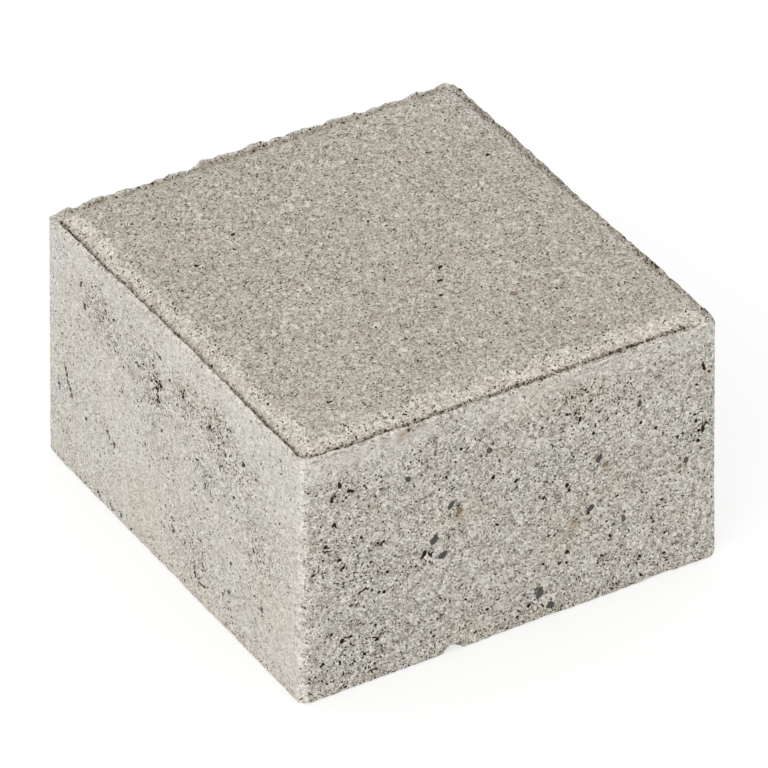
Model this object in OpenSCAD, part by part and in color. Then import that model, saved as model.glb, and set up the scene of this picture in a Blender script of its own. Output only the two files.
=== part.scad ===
// Concrete paving stone, cast in one piece with a bevelled wearing face.
// A thin rim stands round the bevel, where concrete rose between the stamp and the mould.
// Millimetres. Origin in the middle of the foot, +Z up, the chipped front face towards -Y.

/* [Block] */
// Length of the front and back faces
block_length = 98.5; // [60:0.5:240]
// Distance from the front face to the back face
block_width = 103.5; // [60:0.5:240]
// Height from the foot to the wearing face
block_height = 61; // [40:0.5:120]
// Radius of the four upright edges
upright_radius = 2; // [1:0.1:3]

/* [Bevel] */
// Width of the bevel, seen from above
bevel_width = 4.6; // [3:0.1:10]
// Drop from the wearing face to the low edge of the bevel
bevel_drop = 3.1; // [2:0.1:8]
// Radius of the corners of the stamp that presses the bevel
stamp_radius = 3; // [2:0.1:5]

/* [Rim] */
// Thickness of the rim, which is the gap between the stamp and the mould
rim_thickness = 1; // [0.5:0.1:2]
// Height of the rim above the low edge of the bevel
rim_height = 1.2; // [0.5:0.1:3]

/* [Chip] */
// Length of the chip along the front edge of the foot
chip_length = 5; // [4:0.1:12]
// Height of the chip up the front face
chip_height = 2; // [1:0.1:4]
// Distance of the chip from the middle of the front face, towards -X
chip_offset = 14; // [0:0.5:24]

/* [Hidden] */
$fn = 64;
stamp_length = block_length - 2 * rim_thickness;
stamp_width = block_width - 2 * rim_thickness;
bevel_foot = block_height - bevel_drop;
rim_top = bevel_foot + rim_height;
// The chip is a ball whose middle lies outside the edge, on its diagonal
half_chip = chip_length / 2;
chip_standoff = (half_chip * half_chip - chip_height * chip_height) / (2 * chip_height);
chip_radius = sqrt(half_chip * half_chip + 2 * chip_standoff * chip_standoff);

// Flat outline with rounded corners, in the middle of the plane
module rounded_outline(length, width, radius) {
    square([length - 2 * radius, width], center = true);
    square([length, width - 2 * radius], center = true);
    for (x = [-1, 1], y = [-1, 1])
        translate([x * (length / 2 - radius), y * (width / 2 - radius)])
            circle(r = radius);
}

// Upright prism on the rounded outline, from the foot to a height
module upright_prism(length, width, radius, height) {
    linear_extrude(height = height)
        rounded_outline(length, width, radius);
}

// Block as wide as the stamp with the bevel on its two long sides, lying along Y
module bevelled_bar(width, length) {
    rotate([90, 0, 0])
        linear_extrude(height = length, center = true)
            polygon([
                [-width / 2, 0],
                [width / 2, 0],
                [width / 2, bevel_foot],
                [width / 2 - bevel_width, block_height],
                [bevel_width - width / 2, block_height],
                [-width / 2, bevel_foot],
            ]);
}

// Concrete under the stamp: the wearing face with the bevel all round it
module stamped_core() {
    intersection() {
        upright_prism(stamp_length, stamp_width, stamp_radius, block_height);
        bevelled_bar(stamp_length, block_width);
        rotate([0, 0, 90])
            bevelled_bar(stamp_width, block_length);
    }
}

// Body up to the top of the rim, open inside the rim down to the foot of the bevel
module rimmed_body() {
    difference() {
        upright_prism(block_length, block_width, upright_radius, rim_top);
        translate([0, 0, bevel_foot])
            upright_prism(stamp_length, stamp_width, stamp_radius, block_height);
    }
}

// Piece knocked out of the front edge of the foot
module edge_chip() {
    translate([-chip_offset, -block_width / 2 - chip_standoff, -chip_standoff])
        sphere(r = chip_radius);
}

module paving_stone() {
    color([0.7, 0.68, 0.64])
        difference() {
            union() {
                rimmed_body();
                stamped_core();
            }
            edge_chip();
        }
}

paving_stone();
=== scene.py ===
"""Visual model of a pressed concrete paving stone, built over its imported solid."""

import itertools
import math

import bpy
import numpy as np
from bpy.props import FloatProperty, FloatVectorProperty, PointerProperty
from mathutils import Matrix, Vector


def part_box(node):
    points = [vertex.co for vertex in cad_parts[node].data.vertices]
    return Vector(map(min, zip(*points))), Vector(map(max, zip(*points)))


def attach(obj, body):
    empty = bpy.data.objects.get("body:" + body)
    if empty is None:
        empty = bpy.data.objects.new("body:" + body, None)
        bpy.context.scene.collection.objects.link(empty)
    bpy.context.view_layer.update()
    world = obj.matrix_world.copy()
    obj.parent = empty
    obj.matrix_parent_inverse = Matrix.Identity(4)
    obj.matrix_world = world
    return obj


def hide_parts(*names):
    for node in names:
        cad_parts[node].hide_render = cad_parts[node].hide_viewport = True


bl_info = {
    "name": "Concrete paving stone",
    "version": (1, 0, 0),
    "blender": (4, 5, 0),
    "location": "View3D > Sidebar > Paving stone",
    "description": "Builds a pressed concrete paving stone and the stage it is shown on",
    "category": "Add Mesh",
}

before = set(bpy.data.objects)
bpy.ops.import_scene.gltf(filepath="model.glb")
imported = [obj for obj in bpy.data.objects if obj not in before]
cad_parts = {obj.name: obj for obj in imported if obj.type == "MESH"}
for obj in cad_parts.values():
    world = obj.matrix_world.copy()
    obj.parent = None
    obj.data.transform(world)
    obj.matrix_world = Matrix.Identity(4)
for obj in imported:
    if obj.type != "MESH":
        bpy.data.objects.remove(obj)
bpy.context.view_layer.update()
NODE = "paving_stone"
BODY = "root"
LENGTH, WIDTH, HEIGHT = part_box(NODE)[1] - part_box(NODE)[0]
MM = 0.001

# Points along each side of the outline, and rows of each band of the profile
SIDE_POINTS = 152
FOOT_RINGS = 7
SIDE_ROWS = 84
ROUND_ROWS = 3
WALL_ROWS = 4
BEVEL_ROWS = 13

# Masks of the block that its material reads
MASKS = (
    "pressed", "bevel", "far", "porous", "film", "edge", "lip", "groove", "wall", "foot", "rusty", "crumbly",
    "pit", "pit_along", "pit_aside",
)
# Place of a point that lies in no pit, in radii, and how far round a pit its points are marked
OUTSIDE = 9.0
BOWL_MARGIN = 1.1
# Number of small pits and of stones that are scattered on each face
PIT_COUNTS = {"front": 96, "left": 110, "right": 90, "back": 90, "top": 60}
STONE_COUNTS = {"right": 12, "back": 13}
# Half the thickness of an exposed stone, and how far its middle lies in
STONE_HALF_DEPTH = 0.45 * MM
STONE_SUNK = 0.05 * MM
# Points round an exposed stone, and rows from pole to pole
STONE_POINTS = 20
STONE_ROWS = 9
# Odd factors that mix the coordinates of a noise's cells
CELL_FACTORS = np.array((374761393, 668265263, 974634777))
SEED_FACTOR = 40503
MIX_FACTORS = ((13, 1274126177), (16, 747796405))
LOW_BITS = 0xFFFFFFFF
VALUE_BITS = 0xFFFF
LAST_SHIFT = 15
# Shift that keeps a noise's cells positive, and the step between the seeds of its layers
CELL_SHIFT = 500.0
LAYER_STEP = 17
# Seeds of the scattered pits, of the scattered stones and of the stones' outlines
PIT_SEED = 41
STONE_SEED = 97
OUTLINE_SEED = 59
# Share of the way up to the rim at which a side with draft stands where it does in the solid
DRAFT_PIVOT = 0.62
# Round and ledge of the rim as shares of its thickness
LIP_SHARE = 0.3
LEDGE_SHARE = 0.8
# How far the bevel's curve runs on over the wearing face, in bevel widths, and how soft its bend is
BEVEL_REACH = 1.55
BEVEL_BEND = 0.012
# Way from the middle to the worn corner of the rim, and the radius that it is worn to
WORN_WAY = (0.86, -0.51)
WORN_RADIUS = 2.0 * MM
# Key lamp's distance and size, the floor's half width and lines, the camera's sensor width in millimetres
LAMP_DISTANCE = 1.6
LAMP_SIZE = 1.0
FLOOR_REACH = 1.5
FLOOR_LINES = 9
SENSOR_WIDTH = 36.0
# Grey of the floor where the camera sees it, and the glow under its shadow
FLOOR_GREY = 0.42
FLOOR_GLOW = 0.64
# Way along which the grains lie longer, and by how much
GRAIN_WAY = (-0.42, -0.70, 0.575)
GRAIN_STRETCH = 1.6
# Sizes of the sand's cells in millimetres
GRAIN_SIZE = 0.8
CREVICE_SIZE = 0.75
HOLLOW_SIZE = 0.5
CRUMB_SIZE = 0.34
PORE_SIZE = 0.31
SPECK_SIZE = 0.26

# Each face's middle line foot, the directions across and up it, and its outward normal
FACES = {
    "front": ((0, -WIDTH / 2, 0), (1, 0, 0), (0, 0, 1), (0, -1, 0)),
    "right": ((LENGTH / 2, 0, 0), (0, 1, 0), (0, 0, 1), (1, 0, 0)),
    "back": ((0, WIDTH / 2, 0), (-1, 0, 0), (0, 0, 1), (0, 1, 0)),
    "left": ((-LENGTH / 2, 0, 0), (0, -1, 0), (0, 0, 1), (-1, 0, 0)),
    "top": ((0, 0, HEIGHT), (1, 0, 0), (0, 1, 0), (0, 0, 1)),
}

# Exposed stones on each face: millimetres across and up, length, breadth, tilt in degrees, tan share
STONES = {
    "front": (
        (-24.5, 46.5, 1.6, 1.2, -25, 0.0), (-14.5, 36.5, 2.1, 1.0, 50, 0.0),
        (-18.5, 29.5, 2.2, 1.6, 55, 0.0), (-16.5, 25.0, 2.1, 1.4, 15, 0.0),
        (6.5, 7.0, 2.2, 1.8, 60, 0.0), (9.0, 3.0, 1.8, 1.5, 30, 0.0),
        (18.5, 23.5, 2.0, 1.2, 25, 0.0), (-5.5, 46.5, 1.5, 1.4, 80, 0.15),
        (30.0, 45.0, 1.6, 0.9, 75, 0.0), (20.5, 35.0, 2.0, 1.1, 60, 0.0),
        (26.5, 18.0, 1.5, 1.0, 80, 0.2), (41.5, 27.0, 1.5, 1.0, 75, 0.2),
        (-12.5, 34.5, 1.5, 1.4, 10, 1.0), (22.0, 33.0, 1.5, 1.1, 10, 0.9),
        (40.0, 26.0, 1.0, 1.0, 0, 0.8),
    ),
    "top": (
        (16.5, -25.0, 1.4, 1.2, 20, 1.0),
    ),
}

# Open pits on each face: millimetres across and up, length, breadth, tilt in degrees
PITS = {
    "front": (
        (1.0, 36.5, 1.2, 1.0, 60), (-4.5, 39.5, 1.0, 0.8, 40), (-30.5, 33.0, 1.7, 0.8, 35),
        (-19.0, 26.0, 1.4, 0.8, 70), (-20.5, 27.0, 1.4, 0.8, 95), (-41.5, 41.5, 1.3, 1.1, 20),
        (-43.5, 37.0, 1.2, 0.8, 80), (-40.5, 32.5, 1.3, 0.9, 30), (-39.5, 30.5, 0.9, 0.8, 20),
        (-46.5, 31.0, 1.0, 1.0, 0), (-40.0, 50.5, 1.2, 0.9, 30), (-38.0, 48.5, 1.0, 0.9, 0),
        (-42.0, 47.5, 0.9, 0.8, 0), (-34.5, 23.5, 1.0, 0.8, 40), (-33.0, 22.5, 0.9, 0.8, 0),
        (-30.0, 21.0, 1.0, 0.8, 30), (-40.0, 12.5, 1.4, 1.2, 20), (-38.0, 13.0, 0.9, 0.8, 0),
        (-32.0, 10.0, 1.2, 0.8, 40), (-31.0, 11.0, 0.9, 0.7, 60), (-35.0, 7.5, 1.1, 0.9, 0),
        (-44.5, 8.5, 1.0, 0.8, 30), (-18.5, 5.5, 1.0, 0.8, 20), (7.5, 30.0, 1.0, 0.8, 50),
        (13.0, 31.0, 1.1, 0.9, 70), (13.5, 29.5, 1.1, 0.9, 40), (25.0, 24.0, 1.0, 0.8, 20),
        (13.0, 14.5, 1.2, 0.9, 40), (21.5, 10.5, 1.0, 0.8, 0), (30.5, 40.0, 1.0, 0.8, 40),
        (36.5, 5.5, 1.0, 0.8, 30), (37.0, 3.5, 1.0, 0.7, 0), (44.5, 5.0, 0.9, 0.8, 0),
        (44.0, 35.5, 1.0, 1.0, 0), (44.5, 33.0, 1.0, 0.9, 50), (44.5, 30.5, 1.0, 0.8, 0),
        (45.5, 48.5, 3.0, 0.7, 105), (-24.0, 58.5, 2.0, 0.8, 75), (18.5, 49.5, 1.0, 0.9, 0),
        (16.0, 46.0, 1.5, 0.8, 75), (4.0, 4.5, 1.2, 0.9, 20),
    ),
    "left": (
        (-44.0, 24.5, 4.0, 0.9, -70), (-42.0, 20.5, 3.5, 0.9, -65), (-47.0, 19.5, 3.0, 0.8, -65),
        (-36.0, 45.5, 1.8, 1.0, -60), (-14.0, 44.0, 1.5, 0.9, -50), (-6.0, 42.5, 1.2, 1.0, -40),
        (-4.0, 44.0, 1.4, 1.1, -30), (4.5, 47.0, 1.6, 1.0, -50), (15.5, 46.0, 1.4, 1.0, -30),
        (23.5, 50.0, 1.2, 1.0, -30), (28.5, 45.0, 1.3, 1.0, -40), (-4.5, 33.5, 1.2, 1.0, -50),
        (-26.5, 19.5, 1.3, 1.0, -60), (-24.0, 18.0, 1.9, 1.0, -60), (-35.5, 17.5, 1.1, 0.8, -70),
        (-11.0, 26.0, 1.1, 0.9, 0), (0.0, 14.0, 1.6, 0.9, -80), (0.5, 11.5, 1.4, 1.0, -80),
        (5.0, 11.5, 1.2, 0.9, -60), (11.5, 15.5, 1.3, 1.0, -70), (9.0, 7.0, 2.4, 0.8, -75),
        (11.0, 5.5, 1.5, 0.9, -70), (20.5, 8.0, 1.1, 1.0, 0), (23.0, 10.0, 1.4, 1.1, -60),
        (23.5, 17.5, 1.1, 0.9, -50), (36.0, 13.5, 2.4, 1.0, -75), (-30.5, 1.5, 1.8, 0.9, -40),
        (-25.5, 1.5, 1.8, 0.9, -40), (-21.5, 2.0, 1.4, 0.8, -50),
    ),
    "top": (
        (-34.5, -38.0, 1.3, 1.1, 0), (6.5, -13.0, 1.4, 1.1, 10), (9.0, -9.0, 1.1, 1.0, 30),
        (4.0, -17.5, 1.1, 1.0, 50), (-33.0, 17.0, 1.2, 1.0, 0), (-21.0, 23.0, 1.1, 0.9, 40),
        (39.0, 21.0, 1.2, 0.9, 20),
    ),
}

# Patches on each face where the pores lie close: millimetres across and up, radius, strength
POROUS_PATCHES = {
    "front": (
        (-42, 35, 6, 0.4), (-35, 25, 6, 0.4), (-39, 50, 4, 0.3), (-35, 9, 8, 0.5),
        (-20, 27, 6, 0.3), (-16, 47, 8, 0.3), (16, 48, 6, 0.5), (12, 30, 8, 0.3),
        (43, 34, 7, 0.4),
    ),
    "left": (
        (-30, 48, 5, 1.0), (-9, 48, 5, 0.8), (-7, 42, 6, 0.9), (6, 47, 5, 0.8),
        (18, 47, 6, 0.8), (28, 41, 8, 0.5), (-22, 43, 5, 0.4), (14, 34, 7, 0.45),
        (36, 26, 9, 0.4), (10, 9, 9, 0.35),
    ),
    "right": (
        (-25, 38, 9, 0.6), (18, 22, 11, 0.6),
    ),
    "back": (
        (-20, 26, 12, 0.6), (28, 40, 8, 0.7),
    ),
}

# Rusty spots on each face: millimetres across and up, radius
RUST_SPOTS = {
    "front": (
        (-24.0, 58.5, 1.6), (-26.0, 57.0, 1.2), (-12.5, 33.0, 1.8), (-25.0, 28.5, 1.0),
        (22.5, 32.0, 1.0), (14.5, 21.0, 1.5), (46.5, 46.5, 0.8), (-33.0, 43.5, 0.8),
    ),
    "left": (
        (-16.0, 40.5, 1.2), (3.0, 39.0, 1.2),
    ),
}

# Height of the rim's crest above the low edge of the bevel on each face: millimetres across, height
RIM_HEIGHTS = {
    "front": (
        (-49, 1.1), (-25, 0.9), (-10, 0.7), (5, 0.45), (25, 0.3), (31, 0.15), (37, 0.15), (49, 0.3),
    ),
    "right": (
        (-51, 0.4), (-40, 0.6), (-30, 0.7), (-14, 0.5), (-3, 0.2), (5, 0.45), (12, 0.8), (29, 0.8),
        (39, 0.9), (51, 0.9),
    ),
    "back": (
        (-49, 1.0), (-45, 1.2), (-42, 0.7), (-40, 1.2), (-36, 0.9), (-27, 0.95), (-22, 1.3), (-10, 1.3),
        (0, 1.6), (6, 1.8), (12.5, 2.0), (13, 0.9), (25, 0.95), (38, 1.3), (42, 1.0), (45, 0.7), (49, 0.9),
    ),
    "left": (
        (-51, 1.2), (-44, 1.35), (-26, 1.35), (-14, 1.7), (4, 1.85), (15, 1.7), (26, 1.5), (42, 1.2),
        (51, 1.2),
    ),
}


def size_setting(name, description, default, low):
    """Length that a user can set, from its default and least value in millimetres."""
    return FloatProperty(
        name=name, description=description, default=default * MM, min=low * MM, precision=5, unit="LENGTH",
    )


def colour_setting(name, description, default):
    """Colour that a user can set."""
    return FloatVectorProperty(
        name=name, description=description, default=default, size=3, subtype="COLOR", min=0, max=1,
    )


class StoneSizes(bpy.types.PropertyGroup):
    """Sizes of the cast block. Its length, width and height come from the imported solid."""

    upright_radius: size_setting("Upright edge radius", "Radius of the four upright edges", 2.0, 0.5)
    bevel_width: size_setting("Bevel width", "Width of the bevel, seen from above", 4.6, 1.0)
    bevel_drop: size_setting("Bevel drop", "Drop from the wearing face to the bevel's low edge", 3.1, 0.5)
    stamp_radius: size_setting("Stamp radius", "Radius of the corners inside the rim", 3.0, 1.0)
    rim_thickness: size_setting("Rim thickness", "Thickness of the rim round the bevel", 1.0, 0.5)
    rim_height: size_setting("Rim height", "Height of the rim above the bevel's low edge", 1.2, 0.5)
    edge_wear: size_setting("Edge wear", "Radius to which the foot edge is worn", 0.6, 0.1)
    chip_length: size_setting("Chip length", "Length of the chip in the front edge of the foot", 5.0, 1.0)
    chip_height: size_setting("Chip height", "Height of the chip up the front face", 2.0, 0.5)
    chip_offset: size_setting("Chip offset", "Distance of the chip from the front face's middle", 14.0, 0.0)
    draft: size_setting("Draft", "How much further a side stands out at the foot than at the rim", 0.9, 0.0)
    relief: size_setting("Grain relief", "Height of the sand grains that stand out of the faces", 0.09, 0.0)
    pit_depth: size_setting("Pit depth", "Depth of a pit one millimetre wide", 0.7, 0.0)


class ConcreteColours(bpy.types.PropertyGroup):
    """Colours of the concrete, of the grains in it and of the stones that show."""

    pressed: colour_setting("Pressed face", "Paste of the wearing face", (0.493, 0.456, 0.396))
    bevel: colour_setting("Bevel", "Paste of the bevel, which holds more fines", (0.655, 0.605, 0.533))
    cast: colour_setting("Cast face", "Paste of the four sides", (0.62, 0.595, 0.545))
    film: colour_setting("Slurry film", "Pale film on the smooth parts of the sides", (0.72, 0.697, 0.652))
    # Cream also paints the highlight of the beads on the rim's lip.
    cream: colour_setting("Cream grain", "Palest grains and the paste on worn edges", (0.84, 0.80, 0.73))
    rust: colour_setting("Rust", "Rusty grains and tints", (0.42, 0.27, 0.14))
    # The pore colour is painted shade: pores, crevices and the pressed pits are darkened with it to near
    # black, where shade falls, and so is the groove's core.
    pore_shade: colour_setting("Pore", "Inside of the pores and pits", (0.035, 0.024, 0.012))
    # The groove dirt colour is partly painted shade: it darkens the groove behind the rim, where the rim's
    # shadow falls, and the gaps between the rim's beads.
    dirt_and_shade: colour_setting("Groove dirt", "Brown dust in the groove behind the rim", (0.30, 0.262, 0.208))
    wall: colour_setting("Rim wall", "Crumbled concrete of the rim's inner wall", (0.42, 0.39, 0.345))
    slate: colour_setting("Slate stone", "Dark stones that show in the sides", (0.078, 0.078, 0.077))
    tan: colour_setting("Tan stone", "Brown stones that show in the sides", (0.27, 0.195, 0.13))
    cast_tone: colour_setting("Cast tone", "Tone that grains add to the four sides", (0.405, 0.41, 0.42))
    pressed_tone: colour_setting("Pressed tone", "Tone that grains add to the top", (0.42, 0.41, 0.39))


class StageSettings(bpy.types.PropertyGroup):
    """Camera, lamp, sky and floor."""

    camera_azimuth: FloatProperty(
        name="Camera azimuth",
        description="Turn of the camera round the stone from the front face",
        default=math.radians(-31.17), subtype="ANGLE",
    )
    camera_elevation: FloatProperty(
        name="Camera elevation",
        description="Height of the camera above the horizon",
        default=math.radians(35.09), subtype="ANGLE",
    )
    camera_distance: FloatProperty(
        name="Camera distance",
        description="Distance of the camera from the stone's middle",
        default=1.656, unit="LENGTH", precision=4,
    )
    camera_target: FloatVectorProperty(
        name="Camera target",
        description="Offset of the aim to the right, upwards in the picture and up from the foot",
        default=(0.97 * MM, 0.13 * MM, 29.55 * MM), size=3, unit="LENGTH", precision=5,
    )
    lens: FloatProperty(
        name="Lens", description="Focal length on a 36 mm sensor", default=378.2, unit="CAMERA",
    )
    key_direction: FloatVectorProperty(
        name="Key direction",
        description="Direction from the stone to the key lamp",
        default=(-0.70, -0.45, 0.56), size=3, subtype="DIRECTION",
    )
    key_power: FloatProperty(name="Key power", description="Power of the key lamp", default=6.0, unit="POWER")
    sky: FloatProperty(name="Sky", description="Strength of the even light from all round", default=0.85)
    floor_colour: FloatVectorProperty(
        name="Floor",
        description="Colour of the floor",
        default=(0.75, 0.745, 0.73), size=3, subtype="COLOR", min=0, max=1,
    )


# Soft noise

def lattice_values(cells, seed):
    """Repeatable number from 0 to 1 for each lattice cell, its coordinates mixed by odd factors."""
    mixed = (cells @ CELL_FACTORS + seed * SEED_FACTOR) & LOW_BITS
    for shift, factor in MIX_FACTORS:
        mixed = ((mixed ^ (mixed >> shift)) * factor) & LOW_BITS
    return ((mixed ^ (mixed >> LAST_SHIFT)) & VALUE_BITS) / VALUE_BITS


def soft_noise(points, size, seed):
    """Smooth noise from -1 to 1: values of a point's eight cell corners blended by 3t² - 2t³."""
    place = points / size + CELL_SHIFT
    cell = np.floor(place).astype(np.int64)
    part = place - cell
    ease = part * part * (3 - 2 * part)
    total = np.zeros(len(points))
    for corner in itertools.product((0, 1), repeat=3):
        step = np.array(corner)
        weight = np.where(step == 1, ease, 1 - ease).prod(axis=1)
        total += weight * lattice_values(cell + step, seed)
    return 2 * total - 1


def layered_noise(points, size, seed, layers=3):
    """Sum of soft noises, each at half the size and half the weight of the one before."""
    total = np.zeros(len(points))
    for layer in range(layers):
        total += soft_noise(points, size / 2 ** layer, seed + LAYER_STEP * layer) / 2 ** layer
    return total / (2 - 2 ** (1 - layers))


def soft_step(value, low, high):
    """Smooth rise from 0 at low to 1 at high, 3t² - 2t³."""
    part = np.clip((value - low) / (high - low), 0, 1)
    return part * part * (3 - 2 * part)


# Surface of the block

def outline(inset, radius):
    """Ring of points round the block: a rectangle set in from its sides, with corners of a radius.

    Every side runs from the middle of one corner's arc to the middle of the next at an even pace: a half
    arc, the straight and a half arc. Returns points by row and place, and the outward direction there.
    """
    share = np.linspace(0, 1, SIDE_POINTS, endpoint=False)[None, :]
    inset = inset[:, None]
    radius = np.maximum(radius, 1e-6)[:, None]
    points = []
    outward = []
    for face in ("front", "right", "back", "left"):
        _, across, _, normal = face_frame(face)
        half = abs(np.dot(across, (LENGTH, WIDTH, 0))) / 2 - inset
        reach = abs(np.dot(normal, (LENGTH, WIDTH, 0))) / 2 - inset
        half_arc = radius * math.pi / 4
        straight = 2 * (half - radius)
        run = share * (2 * half_arc + straight)
        turn = (np.clip(run, 0, half_arc) - half_arc) / radius
        turn = turn + np.clip(run - half_arc - straight, 0, half_arc) / radius
        along = radius - half + np.clip(run - half_arc, 0, straight) + radius * np.sin(turn)
        out = reach - radius + radius * np.cos(turn)
        points.append(along[..., None] * across + out[..., None] * normal)
        outward.append(np.sin(turn)[..., None] * across + np.cos(turn)[..., None] * normal)
    return np.concatenate(points, axis=1), np.concatenate(outward, axis=1)


def lean(height, sizes):
    """How far a side stands out at a height: the draft times what is left of the way up to a pivot."""
    return sizes.draft * (DRAFT_PIVOT - height / (HEIGHT - sizes.bevel_drop + sizes.rim_height))


def stone_profile(sizes):
    """Rows of the profile from the middle of the foot to the wearing face: inset, height, radius and band.

    The foot runs out to a worn quarter round and the side goes up with a slight draft. A quarter round
    leads to the rim's ledge, whose inner wall falls to a groove. The bevel rises from there in a straight
    slope that bends softly into the wearing face: 1 - (u + sqrt(u² + bend)) / 2 of the drop, where u is
    what is left of the slope.
    """
    wear = sizes.edge_wear
    thick = sizes.rim_thickness
    low = HEIGHT - sizes.bevel_drop
    crest = low + sizes.rim_height
    lip = LIP_SHARE * thick
    ledge = LEDGE_SHARE * thick
    quarter = np.linspace(0, math.pi / 2, ROUND_ROWS + 1)
    fall = np.linspace(0, 1, WALL_ROWS + 1)[1:]
    slope = np.linspace(0.0, BEVEL_REACH, BEVEL_ROWS + 1)[1:]
    rise = 1 - (1 - slope + np.sqrt((1 - slope) ** 2 + BEVEL_BEND)) / 2
    bands = (
        ("foot", np.geomspace(0.45 * LENGTH, 1.6 * wear, FOOT_RINGS), np.zeros(FOOT_RINGS)),
        ("foot_edge", wear * (1 - np.sin(quarter)), wear * (1 - np.cos(quarter))),
        ("side", np.zeros(SIDE_ROWS), np.linspace(wear, crest - lip, SIDE_ROWS + 2)[1:-1]),
        ("rim", lip * (1 - np.cos(quarter)), crest - lip + lip * np.sin(quarter)),
        ("rim", np.array((0.5 * (lip + ledge), ledge)), np.full(2, crest)),
        ("wall", ledge + (thick - ledge) * fall, crest - sizes.rim_height * fall),
        ("bevel", thick + slope * sizes.bevel_width, low + sizes.bevel_drop * rise),
    )
    inset = np.concatenate([band[1] for band in bands])
    height = np.concatenate([band[2] for band in bands])
    names = np.concatenate([np.full(len(band[1]), band[0]) for band in bands])
    over_rim = np.clip(inset / thick, 0, 1)
    up_bevel = np.clip((inset - thick) / (inset[-1] - thick), 0, 1)
    radius = sizes.upright_radius + (sizes.stamp_radius - sizes.upright_radius) * over_rim
    radius = np.where(names == "foot", sizes.upright_radius, radius * (1 - up_bevel))
    return inset - lean(height, sizes), height, radius, names


def block_surface(sizes):
    """Plain block before it is weathered: the profile carried round the outline, closed by a grid on the top.

    Returns points, their normals, which way each point's side looks, its band, quads and triangles.
    """
    inset, height, radius, names = stone_profile(sizes)
    rings, outward = outline(inset, radius)
    rings[..., 2] = height[:, None]
    step_in = np.gradient(inset)
    step_up = np.gradient(height)
    pace = np.hypot(step_in, step_up)
    normals = outward * (step_up / pace)[:, None, None]
    normals[..., 2] = (step_in / pace)[:, None]
    rows, columns = rings.shape[:2]

    inner = np.linspace(-1, 1, SIDE_POINTS + 1)[1:-1]
    grid_x, grid_y = np.meshgrid(inner * (LENGTH / 2 - inset[-1]), inner * (WIDTH / 2 - inset[-1]))
    top = np.stack([grid_x, grid_y, np.full_like(grid_x, HEIGHT)], axis=-1).reshape(-1, 3)
    middle = np.zeros((1, 3))
    points = np.concatenate([rings.reshape(-1, 3), top, middle])
    up = np.tile((0.0, 0.0, 1.0), (len(top), 1))
    normals = np.concatenate([normals.reshape(-1, 3), up, [(0.0, 0.0, -1.0)]])
    facing = np.concatenate([outward.reshape(-1, 3), np.zeros((len(top) + 1, 3))])
    bands = np.concatenate([np.repeat(names, columns), np.full(len(top), "top"), ["foot"]])

    index = np.arange(rows * columns).reshape(rows, columns)
    after = np.roll(index, -1, axis=1)
    strips = np.stack([index[:-1], after[:-1], after[1:], index[1:]], axis=-1).reshape(-1, 4)
    n = SIDE_POINTS
    grid = np.zeros((n + 1, n + 1), dtype=int)
    last = index[-1]
    grid[0, :n] = last[:n]
    grid[:n, n] = last[n:2 * n]
    grid[n, n:0:-1] = last[2 * n:3 * n]
    grid[n:0:-1, 0] = last[3 * n:]
    grid[1:-1, 1:-1] = np.arange(len(top)).reshape(n - 1, n - 1) + rows * columns
    tiles = np.stack([grid[:-1, :-1], grid[:-1, 1:], grid[1:, 1:], grid[1:, :-1]], axis=-1).reshape(-1, 4)
    centre = np.full(columns, len(points) - 1)
    fan = np.stack([index[0], centre, after[0]], axis=-1)
    return points, normals, facing, bands, np.concatenate([strips, tiles]), fan


# Weathering

def face_frame(face):
    """Origin, across, up and normal of a face as arrays."""
    return tuple(np.array(v, dtype=float) for v in FACES[face])


def on_face(face, across, up):
    """Point on a face, from millimetres across its middle line and up from its foot."""
    origin, right, upward, _ = face_frame(face)
    return origin + (across * right + up * upward) * MM


def listed(table):
    """Rows of a table that is kept by face, with the face in front of each."""
    return [(face, *row) for face, rows in table.items() for row in rows]


def porous_share(points, normals):
    """How close the pores lie, 0 to 1: a share for each face, a soft patch at each listed place, noise."""
    front = soft_step(-normals[:, 1], 0.5, 0.9)
    hidden = soft_step(np.maximum(normals[:, 0], normals[:, 1]), 0.5, 0.9)
    left = soft_step(-normals[:, 0], 0.5, 0.9)
    share = 0.12 + 0.37 * front + 0.34 * hidden + 0.05 * left
    share += 0.22 * layered_noise(points, 12 * MM, 5)
    share += 0.2 * (1 - soft_step(points[:, 2], 5 * MM, 25 * MM)) * (front + hidden + 0.5 * left)
    share *= 1 - 0.5 * soft_step(points[:, 2], HEIGHT - 10 * MM, HEIGHT - 4 * MM) * (front + hidden)
    for face, across, up, radius, strength in listed(POROUS_PATCHES):
        away = ((points - on_face(face, across, up)) ** 2).sum(axis=1)
        share += strength * np.exp(-away / (radius * MM) ** 2)
    return np.clip(share, 0, 1)


def rusty_share(points):
    """How rusty the grains are, 0 to 1: a soft spot for each listed place."""
    share = np.zeros(len(points))
    for face, across, up, radius in listed(RUST_SPOTS):
        away = ((points - on_face(face, across, up)) ** 2).sum(axis=1)
        share += np.exp(-away / (radius * MM) ** 2)
    return np.clip(share, 0, 1)


def scattered_pits():
    """Seeded small pits on every face: half spread evenly, half gathered round the porous patches."""
    draw = np.random.default_rng(PIT_SEED)
    pits = []
    for face, count in PIT_COUNTS.items():
        low, high = (-44, 44) if face == "top" else (2, 56)
        across = draw.uniform(-46, 46, count)
        up = draw.uniform(low, high, count)
        patches = itertools.cycle(POROUS_PATCHES.get(face, ()))
        for k, (patch_across, patch_up, radius, _) in zip(range(0, count, 2), patches):
            across[k] = patch_across + draw.normal(0, 0.6 * radius)
            up[k] = patch_up + draw.normal(0, 0.6 * radius)
        length = 0.4 + (0.35 if face == "top" else 0.6) * draw.random(count) ** 2
        breadth = length * draw.uniform(0.7, 1.0, count)
        tilt = draw.uniform(-90, 90, count)
        keep = (np.abs(across) < 47) & (up > low) & (up < high)
        rows = np.stack([across, up, length, breadth, tilt], axis=-1)[keep]
        pits.extend((face, *row) for row in rows)
    return pits


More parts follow.
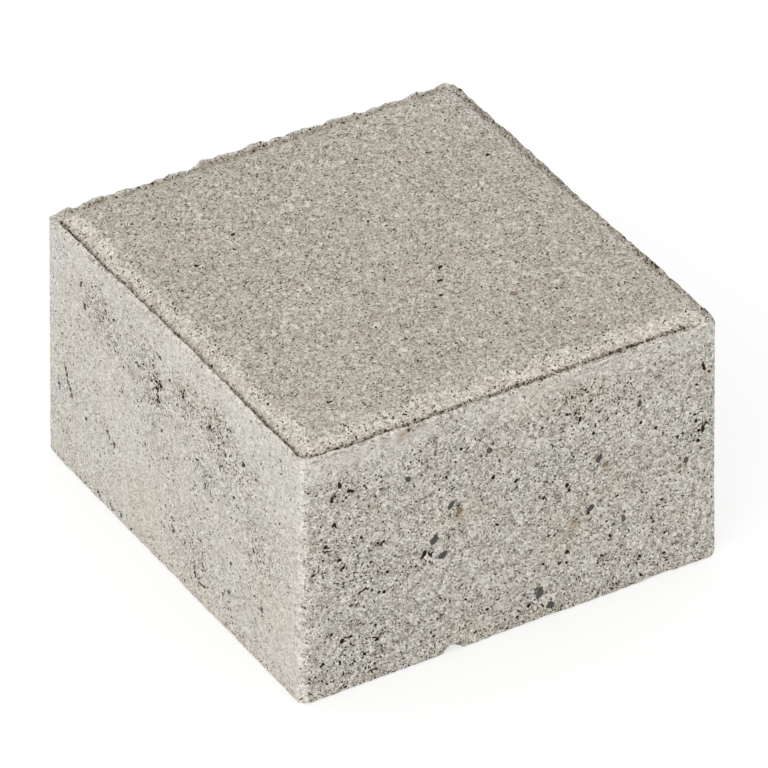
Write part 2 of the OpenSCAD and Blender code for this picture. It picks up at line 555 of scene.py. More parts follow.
def bowl_place(flat, bowl, reach):
    """Points of a face within a reach of a bowl's middle, and their places along and aside it in radii."""
    across, up, length, breadth, tilt = bowl
    angle = math.radians(tilt)
    along = np.array((math.cos(angle), math.sin(angle))) / (length / 2)
    aside = np.array((-math.sin(angle), math.cos(angle))) / (breadth / 2)
    offset = flat - (across, up)
    near = np.flatnonzero(np.hypot(*offset.T) < reach)
    return near, offset[near] @ np.stack([along, aside], axis=-1)


def sink_bowls(flat, bowls, depth):
    """Draws the points of a face into its bowls and returns how far each one goes in.

    Within two radii a point is drawn towards the middle to (0.5 + 0.5 s) of its distance, s rising
    smoothly from 0 to 1, so that a small bowl has points enough. Then it goes in by depth (1 - q²), where
    q is its new distance in radii.
    """
    sunk = np.zeros(len(flat))
    for bowl in bowls:
        across, up, length, breadth, _ = bowl
        near, spot = bowl_place(flat, bowl, 1.5 * length)
        radius = np.hypot(*spot.T)
        pull = 0.5 * (1 - soft_step(radius, 0, 2))
        flat[near] -= pull[:, None] * (flat[near] - (across, up))
        radius = radius * (1 - pull)
        sunk[near] = np.maximum(sunk[near], depth * breadth * np.clip(1 - radius ** 2, 0, 1))
    return sunk


def bowl_places(flat, bowls):
    """Each point's place in the bowl that it is nearest to, in radii, and 1 for points in or by a bowl."""
    places = np.full((len(flat), 2), OUTSIDE)
    beside = np.zeros(len(flat))
    for bowl in bowls:
        near, spot = bowl_place(flat, bowl, bowl[2] / 2 + BOWL_MARGIN)
        nearer = np.hypot(*spot.T) < np.hypot(*places[near].T)
        places[near[nearer]] = spot[nearer]
        beside[near] = 1.0
    return places, beside


def press_pits(points, normals, pits, depth):
    """Presses the pits of every face in as bowls and returns masks of each point's place in its bowl."""
    places = np.full((len(points), 2), OUTSIDE)
    beside = np.zeros(len(points))
    for face in FACES:
        origin, right, upward, normal = face_frame(face)
        chosen = np.flatnonzero(normals @ normal > 0.7)
        axes = np.stack([right, upward])
        flat = (points[chosen] - origin) @ axes.T / MM
        plain = flat.copy()
        bowls = [pit[1:] for pit in pits if pit[0] == face]
        sunk = sink_bowls(flat, bowls, depth)
        points[chosen] += (flat - plain) @ axes * MM - sunk[:, None] * normal
        places[chosen], beside[chosen] = bowl_places(flat, bowls)
    return {"pit": beside, "pit_along": places[:, 0], "pit_aside": places[:, 1]}


def rim_heights(points, facing):
    """Height of the crest at each point: each face's listed heights joined by straight lines.

    Round a corner two faces share the point by the squares of how far it looks their way.
    """
    total = np.zeros(len(points))
    for face, nodes in RIM_HEIGHTS.items():
        _, across, _, normal = face_frame(face)
        place, height = np.array(nodes, dtype=float).T
        total += np.clip(facing @ normal, 0, 1) ** 2 * np.interp(points @ across / MM, place, height) * MM
    return total


def filled_corners(points):
    """Share by which broken concrete fills the groove: 1 at the right front and left back corners."""
    total = np.zeros(len(points))
    for side, reach in ((1, 6.5 * MM), (-1, 4.5 * MM)):
        corner = np.array((side * LENGTH / 2, -side * WIDTH / 2))
        away = np.hypot(*(points[:, :2] - corner).T) + 1.2 * MM * soft_noise(points, 2 * MM, 67)
        total += 1 - soft_step(away, 0.5 * reach, reach)
    return total


def round_corner(points, top, radius):
    """Wears the right front corner of the rim: what stands above a quarter round there is laid onto it."""
    reach = points[:, :2] @ WORN_WAY
    past = np.clip(reach - reach[points[:, 2] > top - radius].max() + radius, 0, radius)
    limit = top - radius + np.sqrt(radius ** 2 - past ** 2)
    over = (past > 0) & (points[:, 2] > limit)
    points[over, 2] = (limit + 0.05 * (points[:, 2] - limit))[over]


def rough_rim(points, normals, facing, bands, sizes):
    """Brings the rim to its listed heights with a ragged crest and fills two corners of the groove.

    Heights above the bevel's low edge are scaled by the crest's height there over the plain one. Lumps come
    from noise, more of them at the back. The filled corners lie above the low edge, and one of them is worn.
    """
    flat = points * (1, 1, 0)
    low = HEIGHT - sizes.bevel_drop
    lump = layered_noise(flat, 1.9 * MM, 31, 2)
    hidden = 0.23 * soft_step(facing[:, 1], 0.3, 0.8) + 0.18 * soft_step(facing[:, 0], 0.3, 0.8)
    ragged = (0.42 + hidden) * MM
    crest = np.clip(rim_heights(points, facing) + ragged * lump, 0.1 * MM, None)
    crumbs = 0.2 * MM * layered_noise(points, 1.5 * MM, 37, 2)
    rough = np.isin(bands, ("rim", "wall"))
    moved = rough | (bands == "side")
    points[rough] += (normals * crumbs[:, None])[rough]
    above = np.clip(points[:, 2] - low, 0, None)
    points[moved, 2] += (above * (crest / sizes.rim_height - 1))[moved]
    land = low + np.where(points[:, 0] > 0, 0.35, 0.8) * MM + crumbs
    inner = np.isin(bands, ("wall", "bevel"))
    rise = np.clip(land - points[:, 2], 0, None) * filled_corners(points)
    points[inner, 2] += rise[inner]
    round_corner(points, low + 0.5 * MM, WORN_RADIUS)


def knock_chip(points, sizes):
    """Pushes points that lie inside a rough ball out to its surface; its middle is off the foot's edge."""
    half = sizes.chip_length / 2
    standoff = (half ** 2 - sizes.chip_height ** 2) / (2 * sizes.chip_height)
    centre = np.array((-sizes.chip_offset, -WIDTH / 2 - standoff, -standoff))
    radius = math.sqrt(half ** 2 + 2 * standoff ** 2) * (1 + 0.05 * layered_noise(points, 2 * MM, 61, 2))
    away = points - centre
    distance = np.linalg.norm(away, axis=1)
    hit = distance < radius
    points[hit] = centre + away[hit] * (radius / distance)[hit][:, None]


def relief_shift(plain, bands, porous, sizes):
    """How far each point goes along its normal: a wide unevenness of the sides and a relief of grains.

    The relief is stronger where pores lie close and on the bevel, and the foot has slight hollows.
    """
    side = np.isin(bands, ("side", "foot_edge"))
    grain = layered_noise(plain, 2.2 * MM, 11, 2)
    fine = soft_noise(plain, 1.1 * MM, 23)
    swell = 0.10 * MM * layered_noise(plain, 24 * MM, 3)
    strength = np.where(bands == "bevel", 1.5, np.where(side, 0.4 + 1.2 * porous, 0.6))
    shift = np.where(side, swell - 0.1 * MM, 0) + strength * sizes.relief * (grain + 0.6 * fine)
    return np.where(bands == "foot", -0.12 * MM * np.abs(grain), shift)


def nick_foot(points, plain, normals, bands):
    """Wears the foot's edge in by noise: small nicks all along it and some longer ones."""
    small = 0.3 * np.abs(layered_noise(plain, 3.5 * MM, 47))
    longer = 0.5 * soft_step(layered_noise(plain, 9 * MM, 53), 0.2, 0.7)
    worn = bands == "foot_edge"
    points[worn] -= (normals * ((small + longer) * MM)[:, None])[worn]


def film_share(plain, facing, porous, low):
    """How much slurry film lies on a side: most on the left, more near the rim, less among pores."""
    upper = soft_step(plain[:, 2], low - 7 * MM, low - 1 * MM)
    left = 0.85 * soft_step(-facing[:, 0], 0.3, 0.9)
    ends = (0.3 + 0.4 * upper) * soft_step(np.abs(facing[:, 1]), 0.5, 0.9)
    return np.clip(left + ends + 0.35 * layered_noise(plain, 14 * MM, 83) - 0.8 * porous, 0, 1)


def block_masks(plain, facing, bands, porous, sizes):
    """Masks for the material, from each plain point's band, its height, the way its side looks and noise."""
    side = np.isin(bands, ("side", "foot_edge"))
    worn = bands == "foot_edge"
    bevel = bands == "bevel"
    rim = bands == "rim"
    wall = bands == "wall"
    near = soft_step(np.maximum(-facing[:, 0], -facing[:, 1]), 0.3, 0.8)
    front = soft_step(-facing[:, 1], 0.3, 0.8)
    back = soft_step(facing[:, 1], 0.3, 0.8)
    low = HEIGHT - sizes.bevel_drop
    ragged = layered_noise(plain, 3 * MM, 89, 2)
    blotch = layered_noise(plain, 4 * MM, 101, 2)
    climb = (plain[:, 2] - low) / sizes.bevel_drop
    lip = side * soft_step(plain[:, 2] + 0.6 * MM * ragged, low - 0.6 * MM, low + 0.4 * MM)
    top_of_bevel = (1 - soft_step(climb + 0.25 * blotch, 0.6, 1.0)) * (1 + 0.4 * np.minimum(blotch, 0))
    # The groove mask is dirt and the painted shadow of the rim: its band reaches further up the bevel on the
    # near sides, and a little further at the back.
    groove_width = 0.25 + 0.25 * near + 0.15 * back
    open_groove = np.clip(1 - filled_corners(plain), 0, 1)
    corner = 2 * np.abs(facing[:, 0] * facing[:, 1]) * side
    return {
        "pressed": np.clip(np.isin(bands, ("wall", "bevel", "top")) + rim * (1 - near), 0, 1),
        "bevel": np.where(bevel, top_of_bevel * (0.5 + 0.5 * near), wall + 0.5 * rim * back),
        "far": np.where(bevel, top_of_bevel * (1 - near), 0),
        "porous": porous,
        "film": film_share(plain, facing, porous, low) * (side | rim),
        "edge": np.clip(corner * (0.8 + 0.5 * ragged) + np.where(worn, 0.4 + 0.4 * ragged, 0), 0, 1),
        # The lip mask sets where cream beads paint a highlight on the rim's edge, weaker on the front.
        "lip": np.clip(lip + rim * near, 0, 1) * (1 - 0.6 * front),
        "groove": np.where(bevel, np.clip(1 - climb / groove_width, 0, 1) * open_groove, 0),
        "wall": (0.35 * wall + rim * (1 - near)) * (1 - 0.8 * back),
        "foot": side * (1 - soft_step(plain[:, 2], 0.5 * MM, 4 * MM)),
        "rusty": rusty_share(plain),
        "crumbly": np.clip(rim + 0.6 * wall + 0.7 * lip, 0, 1) * (1 - 0.5 * back),
    }


def weather(points, normals, facing, bands, sizes):
    """Moves the plain block's points and returns the masks that its material reads."""
    plain = points.copy()
    porous = porous_share(plain, normals)
    points += normals * relief_shift(plain, bands, porous, sizes)[:, None]
    rough_rim(points, normals, facing, bands, sizes)
    nick_foot(points, plain, normals, bands)
    knock_chip(points, sizes)
    pits = press_pits(points, normals, listed(PITS) + scattered_pits(), sizes.pit_depth)
    points[:, 2] = np.maximum(points[:, 2], 0)
    return {**block_masks(plain, facing, bands, porous, sizes), **pits}


# Exposed stones

def stone_list():
    """The listed stones and a seeded few on the faces that have none listed."""
    draw = np.random.default_rng(STONE_SEED)
    more = []
    for face, count in STONE_COUNTS.items():
        for _ in range(count):
            place = (draw.uniform(-42, 42), draw.uniform(4, 52))
            length = draw.uniform(1.3, 2.2)
            more.append((face, *place, length, length * draw.uniform(0.5, 0.85), draw.uniform(-90, 90),
                         float(draw.random() < 0.25)))
    return listed(STONES) + more


def pebble_surface(stones, sizes):
    """Rounded pebbles sunk in the faces, in one array: flat ellipsoids whose outline swells by two waves.

    A row of points goes round each pebble at every latitude, and the two poles close it.
    """
    draw = np.random.default_rng(OUTLINE_SEED)
    around = np.linspace(0, 2 * math.pi, STONE_POINTS, endpoint=False)
    latitude = np.linspace(0, math.pi, STONE_ROWS)[1:-1]
    points = []
    quads = []
    triangles = []
    shares = []
    for face, across, up, length, breadth, tilt, tan_share in stones:
        _, right, upward, normal = face_frame(face)
        angle = math.radians(tilt)
        long_way = math.cos(angle) * right + math.sin(angle) * upward
        short_way = math.cos(angle) * upward - math.sin(angle) * right
        phase = draw.uniform(0, 2 * math.pi, 2)
        swell = 1 + 0.10 * np.sin(2 * around + phase[0]) + 0.07 * np.sin(3 * around + phase[1])
        ring = np.sin(latitude)[:, None] ** 0.6 * swell
        a = ring * np.cos(around) * length * MM / 2
        b = ring * np.sin(around) * breadth * MM / 2
        c = np.cos(latitude)[:, None] * np.ones(len(around)) * STONE_HALF_DEPTH
        out = 0.0 if face == "top" else lean(up * MM, sizes) - 0.1 * MM
        centre = on_face(face, across, up) + (out - STONE_SUNK) * normal
        body = centre + a[..., None] * long_way + b[..., None] * short_way + c[..., None] * normal
        poles = centre + np.array([[STONE_HALF_DEPTH], [-STONE_HALF_DEPTH]]) * normal
        start = sum(len(p) for p in points)
        index = start + np.arange(body.shape[0] * body.shape[1]).reshape(body.shape[:2])
        after = np.roll(index, -1, axis=1)
        quads.append(np.stack([index[:-1], index[1:], after[1:], after[:-1]], axis=-1).reshape(-1, 4))
        peak = np.full(len(around), start + index.size)
        triangles.append(np.stack([peak, index[0], after[0]], axis=-1))
        triangles.append(np.stack([peak + 1, after[-1], index[-1]], axis=-1))
        points.append(np.concatenate([body.reshape(-1, 3), poles]))
        shares.append(np.full(index.size + 2, tan_share))
    return np.concatenate(points), np.concatenate(quads), np.concatenate(triangles), np.concatenate(shares)


# Meshes

def make_piece(name, points, quads, triangles, masks, material):
    """Object at the origin from arrays of points and faces, with one float attribute for each mask."""
    mesh = bpy.data.meshes.new(name)
    mesh.from_pydata(points.tolist(), [], quads.tolist() + triangles.tolist())
    for mask, values in masks.items():
        layer = mesh.attributes.new(mask, "FLOAT", "POINT")
        layer.data.foreach_set("value", np.asarray(values, dtype=np.float32))
    mesh.polygons.foreach_set("use_smooth", np.ones(len(mesh.polygons), dtype=bool))
    mesh.materials.append(material)
    mesh.validate()
    mesh.update()
    piece = bpy.data.objects.new(name, mesh)
    bpy.context.scene.collection.objects.link(piece)
    return piece


# Materials

class Wire:
    """An output socket in a shader tree; arithmetic on it adds Math nodes to the tree."""

    def __init__(self, tree, socket):
        self.tree = tree
        self.socket = socket

    def node(self, kind, settings=None, sockets=None, output=0):
        """Adds a node of a type, sets it and then its sockets by name or number, and returns an output."""
        made = self.tree.nodes.new(kind)
        for name, value in (settings or {}).items():
            setattr(made, name, value)
        for key, value in (sockets or {}).items():
            if isinstance(value, Wire):
                self.tree.links.new(value.socket, made.inputs[key])
            else:
                made.inputs[key].default_value = value
        return Wire(self.tree, made.outputs[output])

    def math(self, operation, first, second=0.0):
        return self.node("ShaderNodeMath", {"operation": operation}, {0: first, 1: second})

    def __add__(self, other):
        return self.math("ADD", self, other)

    def __radd__(self, other):
        return self.math("ADD", other, self)

    def __sub__(self, other):
        return self.math("SUBTRACT", self, other)

    def __rsub__(self, other):
        return self.math("SUBTRACT", other, self)

    def __mul__(self, other):
        return self.math("MULTIPLY", self, other)

    def __rmul__(self, other):
        return self.math("MULTIPLY", other, self)

    def other(self, output):
        """Another output of the node that this wire leaves."""
        return Wire(self.tree, self.socket.node.outputs[output])

    def step(self, low, high):
        """Smooth rise from 0 at low to 1 at high."""
        return self.node(
            "ShaderNodeMapRange", {"interpolation_type": "SMOOTHSTEP"},
            {"Value": self, "From Min": low, "From Max": high},
        )

    def mixed(self, other, share):
        """This colour blended towards another by a share."""
        return self.between(self, other, share)

    def between(self, first, second, share):
        """Blend of two colours by a share."""
        return self.node("ShaderNodeMix", {"data_type": "RGBA"}, {0: share, 6: first, 7: second}, 2)

    def tinted(self, tint, share):
        """This colour times a tint, by a share."""
        settings = {"data_type": "RGBA", "blend_type": "MULTIPLY"}
        return self.node("ShaderNodeMix", settings, {0: share, 6: self, 7: (*tint, 1)}, 2)

    def scaled(self, factor):
        """This colour or vector times a number."""
        return self.node("ShaderNodeVectorMath", {"operation": "SCALE"}, {"Vector": self, "Scale": factor})

    def plus(self, vector, factor):
        """This colour or vector and another one times a number."""
        more = self.node("ShaderNodeVectorMath", {"operation": "SCALE"}, {"Vector": vector, "Scale": factor})
        return self.node("ShaderNodeVectorMath", {"operation": "ADD"}, {0: self, 1: more})

    def most(self, other):
        """The larger of this number and another."""
        return self.math("MAXIMUM", self, other)

    def noise(self, size, detail=2.0, roughness=0.5):
        """Noise of a size in millimetres at this place, from 0 to 1."""
        sockets = {"Vector": self, "Scale": 1 / size, "Detail": detail, "Roughness": roughness}
        return self.node("ShaderNodeTexNoise", None, sockets)

    def cells(self, size):
        """Cells of a size in millimetres at this place: the distance from the nearest middle, in cells."""
        return self.node("ShaderNodeTexVoronoi", None, {"Vector": self, "Scale": 1 / size})

    def attribute(self, name):
        """A mask of the mesh."""
        return self.node("ShaderNodeAttribute", {"attribute_name": name}, None, "Fac")

    def channel(self, which):
        """One channel of this colour."""
        return self.node("ShaderNodeSeparateColor", None, {"Color": self}, which)


def new_material(name):
    """Empty material with a Principled shader; returns the material, the shader and a wire to start from."""
    material = bpy.data.materials.new(name)
    material.use_nodes = True
    tree = material.node_tree
    shader = tree.nodes["Principled BSDF"]
    start = Wire(tree, None)
    return material, shader, start


def drawn_out(place):
    """Place pressed together along one slanting way, so that the grains lie a little longer that way."""
    dot = place.node("ShaderNodeVectorMath", {"operation": "DOT_PRODUCT"}, {0: place, 1: GRAIN_WAY}, "Value")
    return place.plus(GRAIN_WAY, dot * (1 / GRAIN_STRETCH - 1))


def sand_grains(place):
    """Sand: bent cells of several sizes with numbers drawn for each, and crevices along some edges."""
    drawn = drawn_out(place)
    bent = drawn.plus(drawn.noise(0.9, 1.0).other("Color"), 0.5)
    grain = bent.cells(GRAIN_SIZE).other("Color")
    crumb = bent.cells(CRUMB_SIZE).other("Color")
    edges = {"feature": "DISTANCE_TO_EDGE"}
    gap = bent.node("ShaderNodeTexVoronoi", edges, {"Vector": bent, "Scale": 1 / CREVICE_SIZE})
    return {
        "grain": grain.channel(0),
        "grain_kind": grain.channel(1),
        "hue": grain.channel(2),
        "crumb": crumb.channel(0),
        "crumb_kind": crumb.channel(1),
        "hollow": bent.cells(HOLLOW_SIZE).other("Color").channel(1),
        "pore_kind": bent.cells(PORE_SIZE).other("Color").channel(2),
        "speck": drawn.cells(SPECK_SIZE).other("Color").channel(0),
        "crevice": (1 - gap.step(0.03, 0.14)) * place.noise(1.6, 2.0).step(0.44, 0.6),
        "dust": drawn.noise(0.55, 3.0, 0.7),
    }


def wide_noise(place):
    """Noises wider than the sand: ragged edges, crowds of pores, patches and smudges."""
    patches = place.noise(18.0, 3.0).other("Color")
    smudge = place.noise(5.0, 2.0)
    return {
        "ragged": place.noise(1.1, 3.0, 0.6),
        "crowd": place.noise(4.0, 2.0),
        "patch": patches.channel(0),
        "warm": patches.channel(1),
        "smudge": smudge,
        "stain": smudge.other("Color").channel(1),
    }


def paste_colour(colours, mask, line):
    """Paste: the cast or pressed colour, with the bevel, film, groove dirt and painted shade, and rim wall
    over it by masks.
    """
    pressed = mask["pressed"]
    paste = pressed.between((*colours.cast, 1), (*colours.pressed, 1), pressed)
    paste = paste.mixed((*colours.bevel, 1), mask["bevel"])
    paste = paste.mixed((*colours.film, 1), mask["film"].most(mask["far"] * 0.2))
    # Painted shade and dirt in the groove: a soft band and a darker line along it.
    paste = paste.mixed((*colours.dirt_and_shade, 1), (mask["groove"] * 0.15).most(line * 0.9))
    return paste.mixed((*colours.wall, 1), mask["wall"])


def grain_tone(mask, sand, wide):
    """How much lighter or darker a grain is: crumbs, grains, dust and specks by a contrast, then patches."""
    contrast = 1.25 - 0.25 * mask["pressed"] + 0.3 * mask["bevel"] + 0.25 * mask["porous"]
    contrast = contrast - 0.62 * mask["film"]
    contrast = contrast + 0.8 * mask["edge"] + 0.3 * mask["crumbly"] + 0.3 * mask["far"]
    tone = (sand["crumb"] - 0.5) * 0.85 + (sand["grain"] - 0.5) * 0.25 + (sand["dust"] - 0.5) * 0.7
    speck = (sand["speck"] - 0.035 * mask["pressed"]).step(0.06, 0.08)
    tone = tone - 0.45 * (1 - speck) + 0.2 * sand["speck"].step(0.95, 0.96)
    tone = tone * contrast + (wide["patch"] - 0.5) * 0.14
    return tone + (wide["smudge"] - 0.5) * 0.1 + mask["edge"] * 0.2


def hued(colour, mask, sand, wide):
    """Colour with warm and cool grains, more of them where pores lie close, and wide warm patches."""
    variety = 0.05 + 0.16 * mask["porous"]
    colour = colour.tinted((1.0, 0.92, 0.80), sand["hue"].step(0.75, 0.95) * variety)
    colour = colour.tinted((0.93, 0.98, 1.0), (1 - sand["hue"].step(0.05, 0.3)) * variety)
    warm = (wide["warm"] + 0.2 * mask["foot"]).step(0.42, 0.75)
    return colour.tinted((1.0, 0.965, 0.90), warm * (0.7 - 0.4 * mask["pressed"]))


def worn_colour_and_painted_light(colour, colours, mask, sand, wide):
    """Colour with pale grains, cream edges, rust, lips in cream beads that partly paint a highlight, and dirt
    with painted shade between the beads.
    """
    stain = wide["stain"].step(0.58, 0.72) * sand["crumb"].step(0.3, 0.9)
    rust = (stain * 0.2).most(mask["rusty"] * sand["crumb"].step(0.35, 0.6) * 0.75)
    pale = sand["grain_kind"].step(0.965, 0.97).most(sand["crumb_kind"].step(0.95, 0.96))
    # Painted highlight: the beads paint the rim's lumps in cream where they catch the light.
    bead = wide["ragged"].step(0.4, 0.48)
    cream = (pale * 0.6).most(mask["edge"] * 0.3).most(mask["lip"] * 0.45 * bead)
    colour = colour.mixed((*colours.cream, 1), cream).mixed((*colours.rust, 1), rust)
    # Dirt and painted shade between the beads, on the rim, its wall and the lip.
    gap = mask["crumbly"] * (1 - bead) * (0.85 - 0.4 * mask["film"])
    return colour.mixed((*colours.dirt_and_shade, 1), gap)


def pore_share(mask, sand, wide, line):
    """How far a place lies in a hole, which is painted with shade: fine and wide pores by drawn numbers,
    crevices and ragged pits.
    """
    limit = 0.024 + 0.006 * mask["pressed"] + 0.01 * mask["bevel"]
    limit = limit + 0.07 * mask["porous"] * mask["porous"]
    limit = limit + 0.08 * (wide["crowd"] - 0.5) + 0.1 * line + 0.04 * mask["foot"]
    limit = limit + 0.06 * mask["crumbly"] * mask["pressed"]
    fine = (limit - sand["pore_kind"]).step(0.0, 0.01)
    broad = (limit * 0.42 - 0.014 - sand["hollow"]).step(0.0, 0.005)
    crevice = sand["crevice"] * (0.5 - 0.4 * mask["film"] - 0.4 * mask["pressed"])
    within = mask["pit_along"] * mask["pit_along"] + mask["pit_aside"] * mask["pit_aside"]
    within = within + (wide["ragged"] - 0.5) * 0.9 + (sand["crumb"] - 0.5) * 0.4
    pit = (1 - within.step(0.7, 1.0)) * mask["pit"].step(0.8, 0.95)
    return fine.most(broad).most(crevice).most(pit)


def concrete_material(colours):
    """Concrete: paste by masks, a tone for each grain added to it, hues, wear and pores, with painted
    highlight and shade on the rim, in the groove and in the holes, and a fine bump.
    """
    material, shader, start = new_material("pressed_concrete")
    tree = material.node_tree
    place = start.node("ShaderNodeTexCoord", output="Object").scaled(1 / MM)
    mask = {name: start.attribute(name) for name in MASKS}
    sand = sand_grains(place)
    wide = wide_noise(place)
    # Painted shadow of the rim along the groove: the line takes the dirt colour and gets more pores, and its
    # core is darkened further.
    groove = mask["groove"] + (wide["ragged"] - 0.5) * 0.8
    core = groove.step(0.68, 0.8)
    line = (groove + (sand["crumb"] - 0.5) * 0.15).step(0.48, 0.6)

    tint = start.between((*colours.cast_tone, 1), (*colours.pressed_tone, 1), mask["pressed"])
    colour = paste_colour(colours, mask, line).plus(tint, grain_tone(mask, sand, wide))
    colour = worn_colour_and_painted_light(hued(colour, mask, sand, wide), colours, mask, sand, wide)
    hole = pore_share(mask, sand, wide, line)
    # Painted shadow: the core of the groove line is darkened towards the pore colour.
    colour = colour.mixed((*colours.pore_shade, 1), core * 0.45)
    # Painted shade in the pores, pits and crevices: they are darkened towards near black.
    colour = colour.mixed((*colours.pore_shade, 1), hole * (1 - 0.25 * mask["film"]))
    height = sand["dust"] * 0.5 + sand["grain"] * 0.25 + sand["crumb"] * 0.25 - hole * 0.6
    bump = start.node("ShaderNodeBump", None, {"Strength": 0.5, "Distance": 0.0003, "Height": height})
    tree.links.new(colour.socket, shader.inputs["Base Color"])
    tree.links.new(bump.socket, shader.inputs["Normal"])
    tree.links.new((0.95 - 0.1 * mask["film"]).socket, shader.inputs["Roughness"])
    shader.inputs["Specular IOR Level"].default_value = 0.1
    return material


def pebble_material(colours):
    """Stones: slate or tan by the mask, with a mottle of two noises and a fine bump."""
    material, shader, start = new_material("exposed_stone")
    tree = material.node_tree
    place = start.node("ShaderNodeTexCoord", output="Object").scaled(1 / MM)
    share = start.attribute("tan_share")
    body = start.between((*colours.slate, 1), (*colours.tan, 1), share)
    mottle = place.noise(1.2, 2.0)
    fine = place.noise(0.3, 2.0)
    colour = body.scaled(0.55 + 0.6 * mottle + 0.3 * fine)
    bump = start.node("ShaderNodeBump", None, {"Strength": 0.4, "Distance": 0.0001, "Height": fine})
    tree.links.new(colour.socket, shader.inputs["Base Color"])
    tree.links.new(bump.socket, shader.inputs["Normal"])
    shader.inputs["Roughness"].default_value = 0.6
    shader.inputs["Specular IOR Level"].default_value = 0.2
    return material


def background_rays(start):
    """1 for rays that show the background, from the camera, off gloss or through glass, and 0 for others."""
    seen = start.node("ShaderNodeLightPath", output="Is Camera Ray")
    return seen.most(seen.other("Is Glossy Ray")).most(seen.other("Is Transmission Ray"))


def floor_material(colour):
    """Floor: matt for the light that it sends back, and near white where it is seen, with the shadow kept."""
    material, shader, start = new_material("studio_floor")
    tree = material.node_tree
    shader.inputs["Base Color"].default_value = (*colour, 1)
    shader.inputs["Roughness"].default_value = 1.0
    shader.inputs["Specular IOR Level"].default_value = 0.0
    seen = background_rays(start)
    matt = start.node("ShaderNodeBsdfDiffuse", None, {"Color": (FLOOR_GREY, FLOOR_GREY, FLOOR_GREY, 1)})
    glow = start.node("ShaderNodeEmission", None, {"Color": (1, 1, 1, 1), "Strength": FLOOR_GLOW})
    shown = start.node("ShaderNodeAddShader", None, {0: matt, 1: glow})
    choice = start.node("ShaderNodeMixShader", None, {0: seen, 1: Wire(tree, shader.outputs[0]), 2: shown})
    tree.links.new(choice.socket, tree.nodes["Material Output"].inputs["Surface"])
    return material


# Stage

def studio_world(strength):
    """World that lights evenly and looks white to the camera and in reflections."""
    world = bpy.data.worlds.new("studio")
    world.use_nodes = True
    tree = world.node_tree
    start = Wire(tree, None)
    even = tree.nodes["Background"]
    even.inputs["Color"].default_value = (1, 1, 1, 1)
    even.inputs["Strength"].default_value = strength
    white = start.node("ShaderNodeBackground", None, {"Color": (1, 1, 1, 1), "Strength": 1.0})
    parts = {0: background_rays(start), 1: Wire(tree, even.outputs[0]), 2: white}
    choice = start.node("ShaderNodeMixShader", None, parts)
    tree.links.new(choice.socket, tree.nodes["World Output"].inputs["Surface"])
    return world


def aimed(back, right):
    """Rotation whose third axis is back and whose first is right."""
    up = back.cross(right)
    return Matrix((right, up, back)).transposed().to_euler()


def make_floor(colour):
    """Floor: a square grid on the ground, three metres wide."""
    line = np.linspace(-FLOOR_REACH, FLOOR_REACH, FLOOR_LINES)
    x, y = np.meshgrid(line, line)
    points = np.stack([x, y, np.zeros_like(x)], axis=-1).reshape(-1, 3)
    index = np.arange(len(points)).reshape(x.shape)
    quads = np.stack([index[:-1, :-1], index[:-1, 1:], index[1:, 1:], index[1:, :-1]], axis=-1)
    quads = quads.reshape(-1, 4)
    floor = make_piece("studio_floor", points, quads, np.zeros((0, 3), dtype=int), {}, floor_material(colour))


def make_lamp(name, direction, distance, size, power):
    """Square soft lamp that faces the stone's middle."""
    back = Vector(direction).normalized()
    lamp = bpy.data.lights.new(name, "AREA")
    lamp.shape = "SQUARE"
    lamp.size = size
    lamp.energy = power
    holder = bpy.data.objects.new(name, lamp)
    holder.location = back * distance + Vector((0, 0, HEIGHT / 2))
    holder.rotation_euler = aimed(back, Vector((0, 0, 1)).cross(back).normalized())
    bpy.context.scene.collection.objects.link(holder)


def make_camera(stage):
    """Camera on a ball round the stone, at the photograph's angles."""
    a = stage.camera_azimuth
    e = stage.camera_elevation
    back = Vector((math.sin(a) * math.cos(e), -math.cos(a) * math.cos(e), math.sin(e)))
    right = Vector((math.cos(a), math.sin(a), 0))
    aside, upward, middle = stage.camera_target
    data = bpy.data.cameras.new("camera")
    data.sensor_width = SENSOR_WIDTH
    data.lens = stage.lens
    camera = bpy.data.objects.new("camera", data)
    centre = Vector((0, 0, middle)) + right * aside + back.cross(right) * upward
    camera.location = centre + back * stage.camera_distance
    camera.rotation_euler = aimed(back, right)
    bpy.context.scene.collection.objects.link(camera)
    bpy.context.scene.camera = camera


# Operators and panel

class STONE_OT_cast_block(bpy.types.Operator):
    """Build the cast concrete block with its bevel, rim, pits and chip."""

    bl_idname = "stone.cast_block"
    bl_label = "Cast block"

    def execute(self, context):
        sizes = context.scene.stone_sizes
        points, normals, facing, bands, quads, fan = block_surface(sizes)
        masks = weather(points, normals, facing, bands, sizes)
        material = concrete_material(context.scene.concrete_colours)
        piece = make_piece("cast_block", points, quads, fan, masks, material)
        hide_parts(NODE)
        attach(piece, BODY)
        return {"FINISHED"}


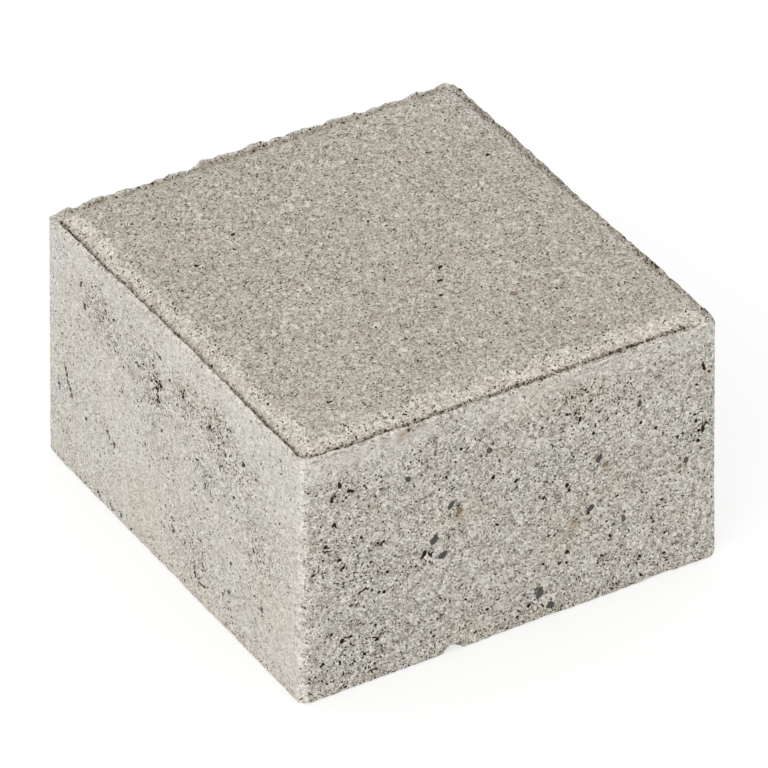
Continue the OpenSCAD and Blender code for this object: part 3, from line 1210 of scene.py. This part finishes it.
class STONE_OT_exposed_stones(bpy.types.Operator):
    """Build the dark and tan stones that show in the faces."""

    bl_idname = "stone.exposed_stones"
    bl_label = "Exposed stones"

    def execute(self, context):
        points, quads, triangles, shares = pebble_surface(stone_list(), context.scene.stone_sizes)
        material = pebble_material(context.scene.concrete_colours)
        piece = make_piece("exposed_stones", points, quads, triangles, {"tan_share": shares}, material)
        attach(piece, BODY)
        return {"FINISHED"}


class STONE_OT_studio_stage(bpy.types.Operator):
    """Build the floor, the lamp, the world and the camera."""

    bl_idname = "stone.studio_stage"
    bl_label = "Studio stage"

    def execute(self, context):
        stage = context.scene.stone_stage
        make_floor(stage.floor_colour)
        make_lamp("key_lamp", stage.key_direction, LAMP_DISTANCE, LAMP_SIZE, stage.key_power)
        context.scene.world = studio_world(stage.sky)
        context.scene.view_settings.view_transform = "Standard"
        make_camera(stage)
        return {"FINISHED"}


class VIEW3D_PT_paving_stone(bpy.types.Panel):
    """Sizes, colours and operators of the paving stone."""

    bl_label = "Paving stone"
    bl_space_type = "VIEW_3D"
    bl_region_type = "UI"
    bl_category = "Paving stone"

    def draw(self, context):
        for group in (context.scene.stone_sizes, context.scene.concrete_colours, context.scene.stone_stage):
            box = self.layout.box()
            for name in group.__annotations__:
                box.prop(group, name)
        for operator in (STONE_OT_cast_block, STONE_OT_exposed_stones, STONE_OT_studio_stage):
            self.layout.operator(operator.bl_idname)


CLASSES = (
    StoneSizes,
    ConcreteColours,
    StageSettings,
    STONE_OT_cast_block,
    STONE_OT_exposed_stones,
    STONE_OT_studio_stage,
    VIEW3D_PT_paving_stone,
)


def register():
    for cls in CLASSES:
        bpy.utils.register_class(cls)
    bpy.types.Scene.stone_sizes = PointerProperty(type=StoneSizes)
    bpy.types.Scene.concrete_colours = PointerProperty(type=ConcreteColours)
    bpy.types.Scene.stone_stage = PointerProperty(type=StageSettings)


def unregister():
    del bpy.types.Scene.stone_stage
    del bpy.types.Scene.concrete_colours
    del bpy.types.Scene.stone_sizes
    for cls in reversed(CLASSES):
        bpy.utils.unregister_class(cls)


def main():
    """Registers the add-on and builds every piece and the stage."""
    register()
    bpy.ops.stone.cast_block()
    bpy.ops.stone.exposed_stones()
    bpy.ops.stone.studio_stage()


if __name__ == "__main__":
    main()
